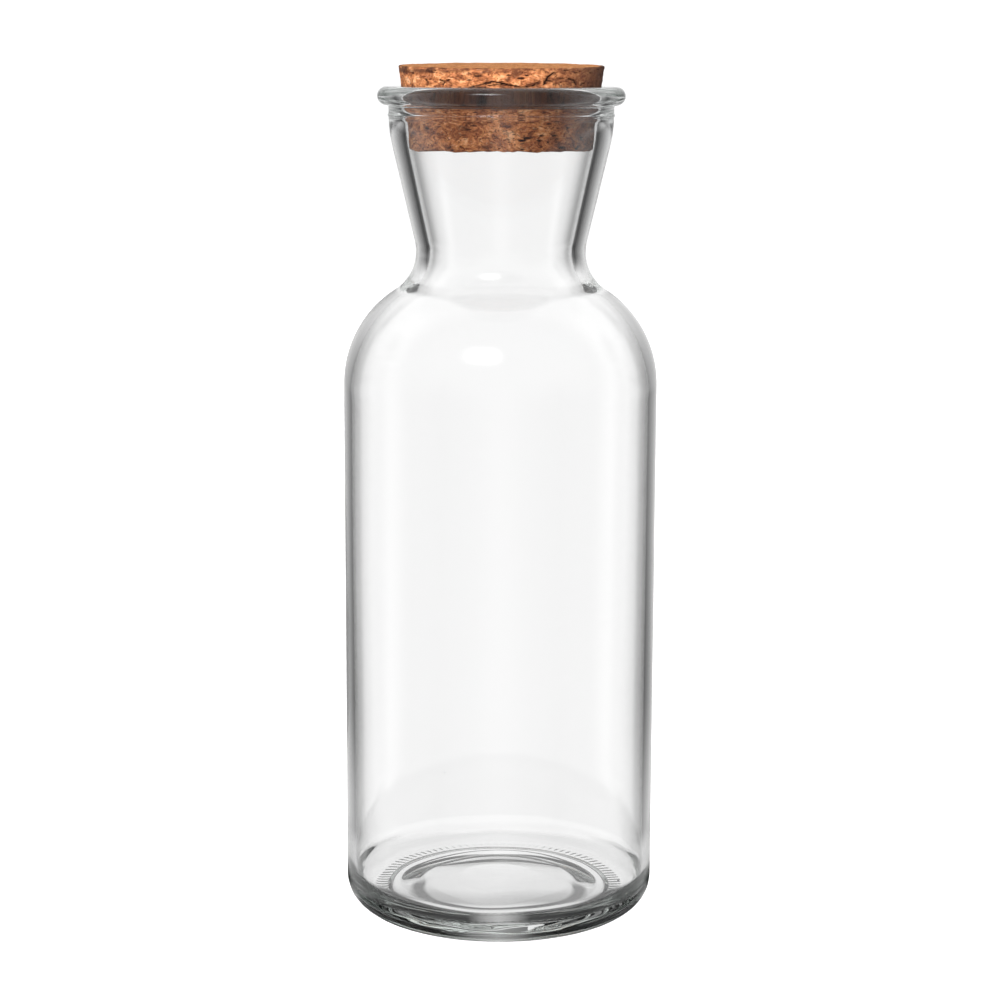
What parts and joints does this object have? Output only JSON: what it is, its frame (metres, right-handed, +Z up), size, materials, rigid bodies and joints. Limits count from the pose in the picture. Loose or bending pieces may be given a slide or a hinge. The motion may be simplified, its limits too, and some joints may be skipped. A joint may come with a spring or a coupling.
{
  "type": "glass bottle with cork stopper",
  "caption": "Clear wide-mouthed glass carafe bottle with a round shoulder, flared neck and rolled lip, closed by a tapered natural cork stopper.",
  "frame": {"origin": "centre of the ring that the bottle stands on, at the level of the surface below it", "axes": "+Z up along the bottle's axis, from its base to the stopper; the bottle is turned about +Z, so +X and +Y are free"},
  "size_m": [0.09, 0.09, 0.2457],
  "materials": {
    "clear_glass": "clear, fire polished",
    "natural_cork": "raw, cut and sanded cork"
  },
  "bodies": {
    "root": {"glass_bottle": "clear_glass", "cork_stopper": "natural_cork"}
  },
  "joints": []
}
